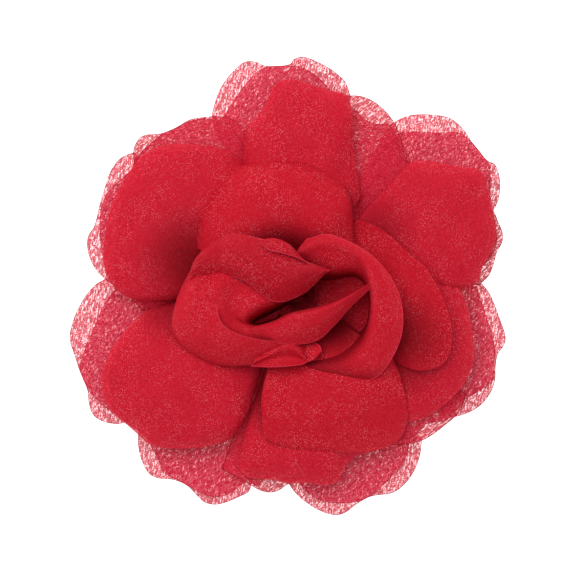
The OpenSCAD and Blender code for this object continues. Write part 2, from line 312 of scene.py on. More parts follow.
# A folded petal follows a net of points. Its sides are free above sidesFrom, openRim says whether its last
# row is a cut rim, and the cloth is painted darker, as painted shade, below the height shadeFrom.
def netPatch(rowsOfPoints, sidesFrom, openRim, shadeFrom, columns=72, rows=56):
    net = [[Vector(p) for p in row] for row in rowsOfPoints]
    wide = len(net[0]) - 1
    tall = len(net) - 1
    middle = net[tall // 2]
    widthMm = sum((middle[k + 1] - middle[k]).length for k in range(wide))
    heightMm = sum((net[k + 1][wide // 2] - net[k][wide // 2]).length for k in range(tall))

    def place(s, t):
        return spline([spline(row, (s + 1) / 2 * wide) for row in net], t * tall)

    def pointAt(s, t):
        return place(s, t), (s * widthMm / 2, t * heightMm)

    def edgeAt(s, t):
        spot = place(s, t)
        toRim = (spot - place(s, 1)).length if openRim else farMm
        toSide = farMm
        if t > sidesFrom:
            toSide = min((spot - place(1, t)).length, (spot - place(-1, t)).length)
        return min(toRim, toSide)

    def paintedShadeAt(place):
        return 0.75 * smooth((shadeFrom - place[2]) / 6)

    return clothPatch(pointAt, edgeAt, paintedShadeAt, columns, rows)


# Each blossom is two plies of one die-cut flower; a petal has an outer rim and an inner ply's rim,
# or a trim by which the inner ply is smaller.
backBowl = {"foot": 6, "base": 0.6, "crest": 40, "rise": 3.0, "droop": 0.004}
backPetals = [
    {"outer": [(15.2, 45.5), (14, 49), (11.5, 51.5), (8, 53.6), (4, 55.2), (1.5, 54.7), (0, 53.3), (-5, 53),
               (-8, 54.1), (-10.8, 53.9), (-14, 51), (-16.5, 47.3), (-18, 43), (-18.5, 40)],
     "inner": [(14.5, 45.5), (10.5, 47.3), (7.5, 50), (4, 52.4), (0, 53), (-5.5, 52.6), (-9, 50),
               (-12.5, 45.5), (-15.7, 40.5)]},
    {"outer": [(49.2, 17.3), (50.8, 21), (51.1, 25.5), (50, 29.2), (47.8, 30.5), (44.5, 34.5), (42.3, 37.8),
               (39, 40.5), (34, 41.4), (29, 41.1), (25, 39.3)],
     "inner": [(48.3, 17), (48.7, 22), (48.7, 28.3), (47.5, 30.6), (44.2, 34.7), (41, 37), (36, 36.9),
               (31, 37.2), (27, 36.9), (23, 35)]},
    {"outer": [(39.5, -31.8), (43, -30.8), (46.3, -28.9), (48.8, -25.8), (49.9, -22.5), (50, -19.5),
               (50.5, -16.5), (52, -14.3), (52.4, -12), (51.2, -8.3), (49.6, -4), (48.3, -1.3), (46.8, 0.6)],
     "inner": [(37.5, -31.5), (40, -28.8), (43.5, -26.8), (46.8, -24.8), (49.4, -22.3), (49.6, -18.5),
               (49.8, -15.5), (49, -11.5), (47.5, -6.5), (46.3, -3), (45.6, 0)]},
    {"outer": [(-0.2, -47.2), (2, -50.2), (5.5, -53), (9, -54.7), (12, -55.2), (14.3, -54.3), (16.5, -52.6),
               (20, -50.7), (25, -49.9), (28, -47.9), (30.4, -44.7), (31.8, -41), (32.3, -37)],
     "inner": [(2, -46.5), (4.5, -49.7), (8, -51.7), (12.5, -52.3), (16.5, -51.9), (20.5, -50.2),
               (23.5, -47.4), (27, -43.7), (28.8, -40.3), (29.3, -37)]},
    {"outer": [(-36.3, -35.5), (-36.1, -39), (-35.2, -42.3), (-33.5, -45.2), (-31, -46.4), (-27.5, -46.7),
               (-24.3, -48.1), (-22, -50.4), (-20, -52.2), (-17.3, -52.7), (-14.5, -52), (-11.5, -50.7),
               (-9.4, -49.5), (-8.6, -47)],
     "inner": [(-35, -35), (-33, -38.7), (-31.3, -41.7), (-29.6, -45), (-26, -47), (-22.5, -49),
               (-19.5, -50.5), (-16, -50.7), (-12.5, -49), (-9, -46)]},
    {"outer": [(-44, 1.8), (-46.5, 0.3), (-49, -2.6), (-51, -6.3), (-52.4, -10.5), (-52.5, -13.5),
               (-51.4, -16.8), (-50.3, -20.3), (-48.4, -25), (-48, -28.5), (-46.8, -31.4), (-44, -32.9),
               (-41, -33.3), (-38.5, -32.8)],
     "inner": [(-41.3, -0.3), (-43.4, -3), (-45.3, -6.5), (-46.7, -10), (-49, -15.5), (-50.1, -20),
               (-48.3, -24.6), (-46, -27.5), (-43, -30), (-40.5, -31.7), (-38, -32.5)]},
    {"outer": [(-37.2, 32.3), (-40.3, 30.9), (-42.6, 28), (-43.9, 24.5), (-45.4, 19.5), (-46.6, 14.6),
               (-48.2, 12), (-48.3, 8.5), (-46.9, 4.8), (-44.5, 2), (-41.5, -0.3)],
     "inner": [(-36.5, 31.5), (-38, 27.8), (-41, 25), (-44, 21.5), (-45.3, 16), (-45, 10), (-44.2, 5.5),
               (-43, 2), (-40.5, -0.5)]},
]
middleBowl = {"foot": 6, "base": 1.8, "crest": 36, "rise": 6.0, "droop": 0.006}
middlePetals = [
    {"outer": [(35, 18), (32, 26), (28.3, 30.6), (27.2, 35), (25.4, 39.4), (23, 42.4), (20, 44.7),
               (16.5, 45.8), (12.5, 45.3), (9, 43)],
     "inner": [(34, 18), (31, 26), (27.2, 31), (26.2, 35), (24.2, 38.7), (21, 38.9), (18, 40.3),
               (15.5, 42.8), (11, 43)]},
    {"outer": [(46, 0.2), (48.2, 2.4), (49.4, 5.2), (50.2, 8), (51.5, 10.5), (51.6, 12.8), (50.6, 15.3),
               (49.3, 18.2), (46, 21)],
     "inner": [(44.5, 0), (46, 3.8), (48.3, 6.5), (49.8, 9.3), (50.2, 12.2), (49.4, 15.5), (46, 19)]},
    {"outer": [(20, -38), (26, -38.2), (29, -37.9), (32.2, -37.1), (35.2, -35.4), (38.2, -33.1), (41, -30.5),
               (43, -26)],
     "inner": [(20, -36), (26, -36.5), (29.5, -36.3), (31.8, -34.6), (33.5, -32.9), (38, -32.2), (40, -29),
               (41.5, -25)]},
    {"outer": [(-16, -44), (-12, -46), (-9, -47.8), (-6.5, -49.2), (-4, -49.6), (-1.8, -48.9), (0.3, -47.5),
               (5, -45.5), (9, -43)],
     "inner": [(-13, -43), (-10, -46), (-7.5, -47.9), (-5.5, -46.4), (-3, -45.6), (-1.5, -47), (3, -46),
               (7, -43)]},
    {"outer": [(-42, -24), (-42.5, -28.5), (-40, -32), (-36.5, -34.5), (-33, -37), (-28, -38), (-23, -38)],
     "trim": 2},
    {"outer": [(-36, 9), (-38.5, 3), (-38, -2), (-35, -6)], "trim": 2},
    {"outer": [(-7.5, 32), (-9.3, 36), (-12, 39.2), (-16, 40.7), (-20, 40.6), (-23.5, 40), (-27, 38.1),
               (-30.5, 36.7), (-34.5, 36.3), (-36.3, 34.8), (-37.2, 32.4), (-37, 29)],
     "inner": [(-9, 31), (-11, 35), (-15, 38.3), (-19.5, 40.2), (-23.5, 39.6), (-27, 37.9), (-30.4, 36.4),
               (-33, 34.2), (-36, 31.3), (-36.5, 28)]},
]
frontBowl = {"foot": 5, "base": 3.0, "crest": 34, "rise": 12.0, "droop": 0.012}
frontPetals = [
    {"outer": [(36, -0.5), (42, -0.2), (45.6, 0.8), (46.3, 4), (48, 7), (49.6, 10.5), (50, 14), (49, 18.5),
               (48.2, 22.5), (47, 26.8), (44.5, 28.3), (40, 28.8), (35, 29.7), (31, 30),
               (28.4, 28.8), (27.2, 25), (25, 19), (21, 15)],
     "trim": 1.5, "bow": 3, "paintedShade": (22, 13, 11, 0.5)},
    {"outer": [(17.5, 21), (16.8, 27), (15.9, 33), (15.6, 39), (15.2, 43), (13.8, 45.9), (10, 46.8),
               (6, 48.1), (2.5, 49.3), (-0.8, 49.5), (-3.2, 48), (-4.7, 45.2), (-6, 42.3), (-8, 39.8),
               (-9.8, 37.3), (-10.5, 33), (-11, 29)],
     "trim": 1.5, "bow": 3},
    {"outer": [(-9, 28), (-14, 32.2), (-19, 33.6), (-24, 34), (-29, 33.8), (-33.4, 32.3), (-36.8, 29),
               (-39.5, 24.8), (-42, 20), (-43.5, 14), (-44.2, 8), (-43.6, 3), (-41.8, 0), (-38.5, -2.6),
               (-34, -3.6), (-29, -3.8)],
     "trim": 1.5, "bow": 4, "paintedShade": (-23, 6, 17, 0.85)},
    {"outer": [(-27, -3.5), (-31, -4.7), (-34.5, -6.3), (-38, -9.6), (-41, -13.2), (-43.7, -18),
               (-44.8, -22.5), (-44.2, -27), (-42.5, -29.8), (-40.3, -31.8), (-38, -33.8), (-35.5, -36),
               (-32.5, -38.3), (-28, -38.9), (-23, -38.9), (-18.5, -38.3), (-14.5, -37), (-11.8, -34.5),
               (-9.5, -31), (-8.5, -26)],
     "trim": 1.5, "bow": 5, "paintedShade": (-28, -5, 11, 0.6)},
    {"outer": [(-10, -35), (-11.6, -39), (-11.9, -42.5), (-10.4, -45.4), (-6.5, -46.2), (-3, -46.6),
               (0.5, -47.3), (5, -47.1), (9, -47.7), (12.3, -46.6), (13.8, -43.5), (16, -41), (20, -39.6),
               (23, -37)],
     "trim": 1.5, "bow": 6, "paintedShade": (-7, -24, 13, 1.0)},
    {"outer": [(26, -33), (31.5, -32), (36, -29.5), (40, -26), (43, -22), (44.5, -17.5), (44.4, -12.5),
               (43.6, -8), (42.4, -3.5), (40.5, 0.5), (37, 3)],
     "trim": 1.5, "bow": 2.5, "paintedShade": (26, -18, 13, 0.7)},
]
# petals, bowl, turn of the weave, how open the net is, painted glow for light that comes through it,
# how far rims turn down, the flat blank and its plies' areas
blossoms = {
    "back_blossom": (backPetals, backBowl, 10, 0.95, 0.1, 0, 0.112, {"outer": 0.0071, "inner": 0.0062}),
    "middle_blossom": (middlePetals, middleBowl, 52, 0.85, 0.07, 0, 0.106,
                       {"outer": 0.0043, "inner": 0.0038}),
    "front_blossom": (frontPetals, frontBowl, -20, 0.5, 0.0, 2.2, 0.108,
                      {"outer": 0.0076, "inner": 0.0071}),
}
for blossomName, (petals, bowl, weaveTurn, net, paintedBackGlow, drop, blank, areas) in blossoms.items():
    for ply in ("outer", "inner"):
        nodeName = blossomName + "_" + ply
        lift = 0.9 if ply == "inner" else 0.0  # mm between the plies
        cloth = organzaMaterial("woven_polyester_organza_" + nodeName, weaveTurn + 40 * lift,
                                blossomName.split("_")[0], net, "seal" if ply == "outer" else "innerSeal",
                                paintedBackGlow)
        patches = [hubPatch(bowl, lift)]
        for petal in petals:
            rim = petal.get(ply, petal["outer"])
            trim = petal.get("trim", 0) if ply == "inner" else 0
            patches.append(petalPatch(rim, bowl, lift, trim, petal.get("bow", 2), drop,
                                      petal.get("paintedShade", hubShade)))
        piece = clothPiece(nodeName + "_cloth", patches, cloth)
        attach(piece, "flower")
        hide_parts(nodeName)
        print("made", nodeName, len(patches) - 1, "petals")

cupPetals = {
    "cup_petal_top": {
        "rim": [(16, 10), (15.5, 16), (15, 20), (13.6, 23.7), (10, 27), (6, 29.2), (1.5, 30.1), (-4, 30.3),
                (-9, 29.3), (-13.5, 27.8), (-17.2, 24.7), (-19.8, 20.4), (-21.6, 15.5), (-22, 9)],
        "bowl": {"foot": 4, "base": 4.5, "crest": 16.5, "rise": 18.8, "droop": 0.03}, "drop": 5, "bow": 5,
        "paintedShade": (-2, 8, 14, 0.4), "flat": (0.039, 0.040, 0.00132)},
    "cup_petal_bottom": {
        "rim": [(-5, -20), (-6.3, -26), (-6.2, -32), (-5.5, -36), (-1, -38.3), (5, -39.2), (11, -39.7),
                (17, -39.8), (22.5, -39), (26.5, -36.8), (28.5, -32.5), (28.3, -27), (27, -22), (25, -17)],
        "bowl": {"foot": 4, "base": 4.5, "crest": 29, "rise": 15.5, "droop": 0.03}, "drop": 2, "bow": 2,
        "paintedShade": (12, -9, 11, 0.9), "flat": (0.036, 0.040, 0.00119)},
    "cup_petal_right": {
        "rim": [(27, -19), (31.7, -20.2), (36.5, -19), (38.8, -15.8), (39.2, -12), (39, -8.5), (37.9, -5),
                (36, -0.5), (33, 4.4), (30, 7), (26.5, 10.3), (22.6, 13.5), (19.2, 15.4), (16, 16)],
        "bowl": {"foot": 4, "base": 4.5, "crest": 36, "rise": 15, "droop": 0.02}, "drop": 0, "bow": 3,
        "paintedShade": (28, -12, 14, 0.75), "flat": (0.031, 0.034, 0.00088)},
}
for petalName, petal in cupPetals.items():
    cloth = organzaMaterial("woven_polyester_organza_" + petalName, len(petalName) * 31, "cup", 0.35)
    patch = petalPatch(petal["rim"], petal["bowl"], 0, 0, petal["bow"], petal["drop"], petal["paintedShade"])
    piece = clothPiece(petalName + "_cloth", [patch], cloth)
    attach(piece, "flower")
    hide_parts(petalName)

# Nets of points in mm, from the foot of the petal (first row) to its free rim (last row).
petalNets = {
    "cup_petal_left": [[
        [(-2, 4, 13), (-4, 1, 13), (-4, -2, 13), (-3, -4, 13), (-1, -5, 13)],
        [(-12, 7, 20), (-18, -2, 19), (-17, -9, 19), (-11, -13, 19), (-4, -13, 19)],
        [(-19, 9, 22), (-25, -2, 24), (-25, -12, 23), (-17, -17.5, 23), (-7, -18, 23)],
        [(-20.5, 9, 25), (-26.6, -4, 28), (-26.4, -12.5, 27), (-17, -18.4, 26), (-7, -18.8, 26)],
        [(-18.5, 9, 28), (-23.3, -2.5, 32.6), (-21.5, -11, 32.3), (-13.5, -15.2, 31), (-4.5, -16.5, 29)],
        [(-13.5, 9, 28.5), (-16.4, -0.8, 32.8), (-15.8, -8.4, 34.5), (-9.3, -12.1, 33.7), (2.4, -13.6, 31)],
    ], [
        [(-18, 8, 28), (-22, 0, 31), (-21.5, -6, 31), (-18, -11.5, 30.5), (-10, -14, 30)],
        [(-12.5, 7.5, 30.5), (-16.6, 0.5, 34.3), (-16.5, -5, 33.9), (-14.6, -9.4, 32.6), (-8, -12, 31)],
        [(-8, 3, 32), (-12, -0.8, 33), (-13.3, -4.8, 32.9), (-12, -8.2, 31.6), (-6, -10.5, 29.5)],
        [(1, -1, 29), (-3.4, -3.8, 31), (-7.8, -6.2, 31.4), (-9.8, -8.7, 30.6), (-5, -10, 27)],
        [(4, 0, 14), (1, -3.8, 15), (-4.5, -7, 16), (-7.8, -8.8, 16), (-4, -9.6, 15)],
    ]],
    "heart_petal_right": [[
        [(-1, 2, 11), (3, 1, 11), (6, 0, 11), (9, -1, 11), (10, -3, 11), (9, -5, 11), (6, -6, 11),
         (2, -6, 11), (0, -6, 11)],
        [(-2, 4, 20), (8, 1.2, 15), (15, 1.4, 14), (18.4, -3, 13), (17.8, -8, 13), (13.8, -10.8, 17),
         (9.5, -12.4, 21), (4, -14, 21), (0, -13, 20)],
        [(1.4, 5.5, 27), (9.3, 3, 28.5), (16.4, 2.8, 29), (19.1, -2, 27), (18.9, -8.4, 25.5),
         (16.2, -13, 26.5), (11.8, -16, 26.4), (6, -17, 25), (1, -16.5, 23.5)],
        [(1.6, 7.2, 31), (9.3, 8.6, 33.2), (16.6, 6.2, 34.8), (19.7, -0.7, 36), (19.6, -8.5, 35.4),
         (17.6, -15, 32.6), (13, -18.4, 29.8), (6.5, -19, 27.4), (1, -18.5, 24.8)],
        [(2.6, 9, 31.6), (9.6, 10.9, 34.2), (18, 7.6, 35.4), (23, -0.5, 36), (23.6, -9.3, 35.2),
         (21.5, -17, 33), (15.8, -20.6, 30), (8.5, -20.8, 27.4), (2, -20.4, 24.8)],
        [(4.4, 11.2, 31.8), (10.3, 12.1, 33.6), (19.8, 7.3, 34.6), (25.9, -0.9, 34), (27.2, -9.8, 33),
         (24.4, -17.6, 31.3), (19.6, -22.3, 28.6), (10.5, -22.6, 26), (3, -22.2, 23.5)],
    ]],
    "heart_petal_flap": [[
        [(-4, 2, 14), (-4, 2.5, 14), (-4, 3, 14), (-3.5, 3.5, 14), (-3, 4, 14)],
        [(-14, 2, 24), (-14.5, 4, 24), (-14.5, 6, 24), (-13, 8, 24), (-11, 9.5, 24)],
        [(-23.8, -1, 27), (-23.2, 3, 31), (-22.4, 5.6, 32.6), (-20.6, 7.8, 32.6), (-17.3, 10.2, 32.4)],
        [(-18, 2, 31), (-17, 5.4, 34.8), (-16, 8.2, 35.8), (-14.8, 10.4, 35.4), (-12.9, 12.5, 34)],
        [(-10.9, 1.5, 34.4), (-10.5, 4, 36.6), (-9.6, 6.8, 37.4), (-8.4, 9.2, 36.8), (-6.5, 11.2, 35.2)],
        [(-3.5, -3.7, 32.5), (-3.2, 0, 35.6), (-2.4, 4, 37.2), (-1.6, 7.5, 36.8), (-0.8, 10.2, 35)],
        [(3.4, -2, 31.5), (3.6, 0.5, 34.2), (3.8, 3, 36), (3.8, 4.8, 36), (3.4, 6.4, 34.6)],
        [(8.8, 2.8, 32.5), (9.3, 3.2, 33), (9.8, 3.7, 33.3), (9.3, 4, 33.3), (8.6, 4.3, 33)],
    ], [
        [(-6.4, 11, 34.8), (-3, 11.3, 35.2), (0.3, 9.9, 35.4), (2.6, 7.5, 35.2), (4.3, 5.9, 34.6)],
        [(-6.6, 10.5, 36.8), (-3.6, 9.7, 37.7), (-0.6, 8.6, 37.9), (2, 7.1, 37.2), (4.4, 5.7, 35.8)],
        [(-6.4, 9.7, 36.9), (-4.3, 8.4, 37.9), (-1.4, 7.7, 38.1), (1.6, 6.8, 37.4), (4.5, 5.5, 35.9)],
    ]],
    "heart_petal_band": [[
        [(-5, -7, 11), (-1, -6.5, 11), (3, -6, 11), (7, -5, 11), (11, -4, 11), (14, -2.5, 11)],
        [(-9.4, -9.9, 20), (-4, -8.6, 20), (1, -6.7, 20), (7.3, -5, 20), (13.2, -2.9, 21),
         (18.8, 0.4, 26)],
        [(-11, -10.1, 29), (-4, -8.6, 32.8), (1, -6.5, 34), (7.3, -5, 34.5), (13, -2.9, 34.8),
         (19.4, 0.7, 35)],
        [(-11.5, -11, 30), (-3.4, -11, 33.8), (3, -9.8, 34.4), (9, -7.2, 35), (14.2, -3.7, 35),
         (19.4, 0.2, 35)],
        [(-10.5, -12, 30.6), (-1, -13.8, 31.6), (6.4, -13.2, 29.5), (10.8, -9.6, 31), (14.8, -5.1, 32.8),
         (19.4, -0.7, 34.4)],
    ]],
    "heart_petal_fold": [[
        [(-5, -11, 24), (-2, -11, 24), (1, -11, 24), (3, -11, 24), (5, -11, 24)],
        [(-8, -17.8, 29), (-3.5, -15.2, 31), (-0.3, -13.8, 31.4), (2.4, -14.8, 31), (4.2, -17, 30)],
        [(-8.4, -18.4, 28), (-4, -17.4, 29.2), (-0.5, -17, 29.2), (2.4, -17.2, 29), (4.4, -17.6, 29.2)],
        [(-8.9, -19.1, 29), (-4.5, -19.3, 30.4), (-0.4, -19.1, 30.6), (3, -18.7, 30.2), (4.6, -18, 29.6)],
    ], [
        [(3, -11, 25), (4, -12, 26), (5, -12.5, 26)],
        [(3.4, -15.4, 28.2), (5.6, -14.8, 28.8), (7.4, -14, 28.6)],
        [(4, -18.4, 28.8), (6.4, -17.2, 29.6), (8, -15.4, 29.2)],
    ]],
}
netSizes = {  # height in mm below which the cloth gets painted shade, then the flat cut's width, length and area
    "cup_petal_left": (25, 0.043, 0.050, 0.0018),
    "heart_petal_right": (32.5, 0.040, 0.046, 0.0016),
    "heart_petal_flap": (30, 0.028, 0.032, 0.00072),
    "heart_petal_band": (28, 0.030, 0.034, 0.00088),
    "heart_petal_fold": (28.5, 0.014, 0.018, 0.0002),
}
# above this share of the height the sides are free; at 2 they are sewn in all the way up
sidesFrom = {"cup_petal_left": 2, "heart_petal_right": 2, "heart_petal_flap": 0.5}
for petalName, nets in petalNets.items():
    shadeFrom, width, length, area = netSizes[petalName]
    tones = "heart" if petalName == "heart_petal_flap" else "cup"
    cloth = organzaMaterial("woven_polyester_organza_" + petalName, 25 * len(petalName), tones, 0.2, "paintedBeadHighlight")
    openRims = 2 if petalName == "heart_petal_flap" else 1
    patches = [netPatch(net, sidesFrom.get(petalName, 0), k < openRims, shadeFrom)
               for k, net in enumerate(nets)]
    piece = clothPiece(petalName + "_cloth", patches, cloth)
    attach(piece, "flower")
    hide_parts(petalName)
print("made the cup and the heart")

# The core is a strip of organza rolled up round the thread.
coreRoll = {"inner": 1.6, "outer": 3.6, "turns": 1.6, "foot": 10.5, "tall": 9.5, "x": 3, "y": -2.5}


def rolledPatch(roll):
    sweep = 2 * math.pi * roll["turns"]

    def pointAt(s, t):
        along = (s + 1) / 2
        flare = roll["inner"] + (roll["outer"] - roll["inner"]) * along + 0.9 * t * t
        angle = sweep * along
        rise = roll["tall"] * t * (0.85 + 0.15 * math.cos(angle * 0.9))
        spot = (roll["x"] * t + flare * math.cos(angle), roll["y"] * t + flare * math.sin(angle),
                roll["foot"] + rise)
        return spot, (sweep * along * 3, t * roll["tall"])

    # the whole core gets painted shade of strength 0.6
    return clothPatch(pointAt, lambda s, t: (1 - t) * roll["tall"], lambda place: 0.6, 90, 16)


core = clothPiece("heart_core_cloth", [rolledPatch(coreRoll)],
                  organzaMaterial("woven_polyester_organza_heart_core", 15, "heart", 0.2, "paintedBeadHighlight"))
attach(core, "flower")
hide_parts("heart_core")
print("made the core")

# Needle-punched polyester felt: short fibres lie every way, so it is matt with a fine fuzz and no weave.
feltLook = {"diameter": 45, "thick": 1.2, "recess": 3.2, "recessDeep": 0.8, "softEdge": 0.35,
            "wave": 0.004, "fibre": ("#8e0f1c", "#b8182c"), "fibreMm": 0.35, "matMm": 2.2}


def boxOf(node):
    low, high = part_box(node)
    return Vector(low), Vector(high)


def beginMesh():
    bpy.ops.object.select_all(action="DESELECT")


def pickFaces(obj, test):
    bpy.ops.object.mode_set(mode="EDIT")
    bpy.ops.mesh.select_mode(type="FACE")
    bpy.ops.mesh.select_all(action="DESELECT")
    bpy.ops.object.mode_set(mode="OBJECT")
    for polygon in obj.data.polygons:
        polygon.select = test(polygon.center, polygon.normal)
    bpy.ops.object.mode_set(mode="EDIT")


def pickEdges(obj, test):
    bpy.ops.object.mode_set(mode="EDIT")
    bpy.ops.mesh.select_mode(type="EDGE")
    bpy.ops.mesh.select_all(action="DESELECT")
    bpy.ops.object.mode_set(mode="OBJECT")
    for edge in obj.data.edges:
        a, b = [obj.data.vertices[k].co for k in edge.vertices]
        edge.select = test(a, b)
    bpy.ops.object.mode_set(mode="EDIT")


def settle(obj, name, angle=40):
    bpy.ops.object.mode_set(mode="OBJECT")
    beginMesh()
    obj.select_set(True)
    bpy.context.view_layer.objects.active = obj
    bpy.ops.object.transform_apply(location=True, rotation=True, scale=True)
    bpy.ops.object.shade_smooth_by_angle(angle=math.radians(angle))
    obj.name = name
    obj.data.name = name
    return obj


def feltMaterial():
    look = feltLook
    mat = newMaterial("needled_polyester_felt")
    place = addNode(mat, "ShaderNodeTexCoord").outputs["Object"]
    fibres = noiseOfSize(mat, place, look["fibreMm"], {"Detail": 4.0, "Distortion": 2.0})
    mats = noiseOfSize(mat, place, look["matMm"], {"Detail": 2.0})
    both = mixValues(mat, 0.35, fibres, mats)
    tone = mixTones(mat, remap(mat, both, 0.35, 0.65), srgb(look["fibre"][0]), srgb(look["fibre"][1]))
    fuzz = reliefOf(mat, both, 0.6, 0.3)
    return surface(mat, {"Base Color": tone, "Normal": fuzz, "Roughness": 0.95, "Specular IOR Level": 0.1,
                         "Sheen Weight": 0.25, "Sheen Roughness": 0.5})


def makeFelt():
    look = feltLook
    low, high = boxOf("felt_backing")
    radius = look["diameter"] / 2 * mm
    beginMesh()
    bpy.ops.mesh.primitive_cylinder_add(vertices=96, radius=radius, depth=high.z - low.z,
                                        location=(0, 0, (low.z + high.z) / 2))
    felt = bpy.context.object
    bpy.ops.object.transform_apply(location=True, rotation=True, scale=True)
    pickEdges(felt, lambda a, b: abs(a.z - b.z) < 1e-5)  # both round rims, worn soft by the die
    bpy.ops.mesh.bevel(offset=look["softEdge"] * mm, segments=3)
    pickFaces(felt, lambda c, n: n.z > 0.9 and len(c) == 3 and c.xy.length < 1e-3)
    bpy.ops.mesh.inset(thickness=radius * 0.5)
    bpy.ops.mesh.inset(thickness=radius * 0.5 - (look["recess"] / 2 + look["softEdge"]) * mm)
    bpy.ops.mesh.extrude_region_move(TRANSFORM_OT_translate={"value": (0, 0, -look["recessDeep"] * mm)})
    pickFaces(felt, lambda c, n: n.z < -0.9 and c.xy.length < 1e-3)
    bpy.ops.mesh.inset(thickness=radius * 0.3)
    bpy.ops.mesh.inset(thickness=radius * 0.3)
    bpy.ops.mesh.select_all(action="SELECT")
    bpy.ops.mesh.quads_convert_to_tris()
    felt = settle(felt, "felt_backing_disc")
    for vertex in felt.data.vertices:  # the die leaves the outline a little wavy
        if vertex.co.xy.length > radius * 0.9:
            angle = math.atan2(vertex.co.y, vertex.co.x)
            vertex.co.xy *= 1 - look["wave"] * (1 + math.sin(5 * angle) * math.cos(11 * angle + 1))
    felt.data.materials.append(feltMaterial())
    return felt


felt = makeFelt()
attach(felt, "flower")
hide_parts("felt_backing")
print("made the felt")

# Hot-melt glue: laid from a gun and pressed flat, so it is milky, smooth and rounded where it squeezed out.
glueLook = {"tone": ("#e6dcc4", "#f4ecd8"), "streakMm": 3.5, "round": 2.2, "squeeze": 0.6}


def glueMaterial():
    mat = newMaterial("pressed_hot_melt_glue")
    place = addNode(mat, "ShaderNodeTexCoord").outputs["Object"]
    streak = noiseOfSize(mat, place, glueLook["streakMm"], {"Detail": 3.0})
    tone = mixTones(mat, streak, srgb(glueLook["tone"][0]), srgb(glueLook["tone"][1]))
    ripple = reliefOf(mat, streak, 0.4, 0.4)
    return surface(mat, {"Base Color": tone, "Normal": ripple, "Roughness": 0.35,
                         "Subsurface Weight": 0.3, "Subsurface Radius": (0.0012, 0.001, 0.0008)})


def makeGlue():
    low, high = boxOf("clip_glue")
    size = high - low
    beginMesh()
    bpy.ops.mesh.primitive_cube_add(size=1, location=(low + high) / 2)
    pad = bpy.context.object
    bpy.ops.transform.resize(value=(size.x, size.y, size.z))
    bpy.ops.object.transform_apply(location=True, rotation=True, scale=True)
    pickEdges(pad, lambda a, b: abs(a.z - b.z) > size.z * 0.9)  # the four corners
    bpy.ops.mesh.bevel(offset=glueLook["round"] * mm, segments=6)
    pickFaces(pad, lambda c, n: abs(n.z) < 0.1)
    bpy.ops.mesh.subdivide(number_cuts=3)
    bpy.ops.mesh.select_all(action="SELECT")
    bpy.ops.mesh.remove_doubles(threshold=1e-6)
    pad = settle(pad, "clip_glue_pad", 60)
    for vertex in pad.data.vertices:  # the squeezed edge bulges half way up
        up = (vertex.co.z - low.z) / size.z
        bulge = glueLook["squeeze"] * mm * 4 * up * (1 - up) * (0.5 + noise.noise(vertex.co * 300))
        outward = Vector((vertex.co.x * 0.1, vertex.co.y)).normalized()
        vertex.co.xy += max(0.0, bulge) * outward
    pad.data.materials.append(glueMaterial())
    return pad


glue = makeGlue()
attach(glue, "flower")
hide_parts("clip_glue")
print("made the glue")

# Nickel-plated pressed steel: rolled before it was plated, so the shine runs in faint lines along the
# strip, with dull spots where fingers have worn it.
steelLook = {"plate": "#c9c5bc", "dull": "#a9a59c", "lineMm": 0.12, "runMm": 9, "wearMm": 4}


def steelMaterial(name, roughFrom, roughTo):
    mat = newMaterial(name)
    place = addNode(mat, "ShaderNodeTexCoord").outputs["Object"]
    alongStrip, acrossStrip = 1 / (steelLook["runMm"] * mm), 1 / (steelLook["lineMm"] * mm)
    stretched = addNode(mat, "ShaderNodeMapping", {},
                        {"Vector": place, "Scale": (alongStrip, acrossStrip, acrossStrip)}).outputs[0]
    lines = addNode(mat, "ShaderNodeTexNoise", {},
                    {"Vector": stretched, "Scale": 1.0, "Detail": 2.0}).outputs["Fac"]
    wear = noiseOfSize(mat, place, steelLook["wearMm"], {"Detail": 4.0})
    worn = remap(mat, wear, 0.45, 0.7)
    tone = mixTones(mat, worn, srgb(steelLook["plate"]), srgb(steelLook["dull"]))
    rough = remap(mat, wear, 0.4, 0.7, roughFrom, roughTo)
    relief = reliefOf(mat, lines, 0.15, 0.05)
    return surface(mat, {"Base Color": tone, "Metallic": 1.0, "Roughness": rough, "Normal": relief})


jawSteel = steelMaterial("nickel_plated_pressed_steel", 0.2, 0.42)
for nodeName in ("upper_jaw", "lower_jaw"):
    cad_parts[nodeName].data.materials.clear()
    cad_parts[nodeName].data.materials.append(jawSteel)

pinLook = {"shank": 1.8, "head": 3.0, "headThick": 0.5, "dome": 0.18}


def makePin():
    look = pinLook
    low, high = boxOf("hinge_pin")
    middle = (low + high) / 2
    shankLong = high.y - low.y - 2 * look["headThick"] * mm
    beginMesh()
    bpy.ops.mesh.primitive_cylinder_add(vertices=40, radius=look["shank"] / 2 * mm, depth=shankLong,
                                        location=middle, rotation=(math.pi / 2, 0, 0))
    pin = bpy.context.object
    bpy.ops.object.transform_apply(location=True, rotation=True, scale=True)
    wider = look["head"] / look["shank"]
    straight = look["headThick"] - look["dome"]
    for side in (-1, 1):
        pickFaces(pin, lambda c, n: n.y * side > 0.9)
        bpy.ops.mesh.extrude_region_move()
        bpy.ops.transform.resize(value=(wider, 1, wider))
        # each step of the head: how far out, then how much narrower its end is
        for out, narrower in ((straight, 1), (look["dome"] * 0.7, 0.78), (look["dome"] * 0.3, 0.45)):
            bpy.ops.mesh.extrude_region_move(TRANSFORM_OT_translate={"value": (0, side * out * mm, 0)})
            bpy.ops.transform.resize(value=(narrower, 1, narrower))
        bpy.ops.object.mode_set(mode="OBJECT")
    return settle(pin, "hinge_pin_rivet", 35)


pin = makePin()
pin.data.materials.append(steelMaterial("zinc_plated_steel_rivet", 0.28, 0.5))
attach(pin, "flower")
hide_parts("hinge_pin")

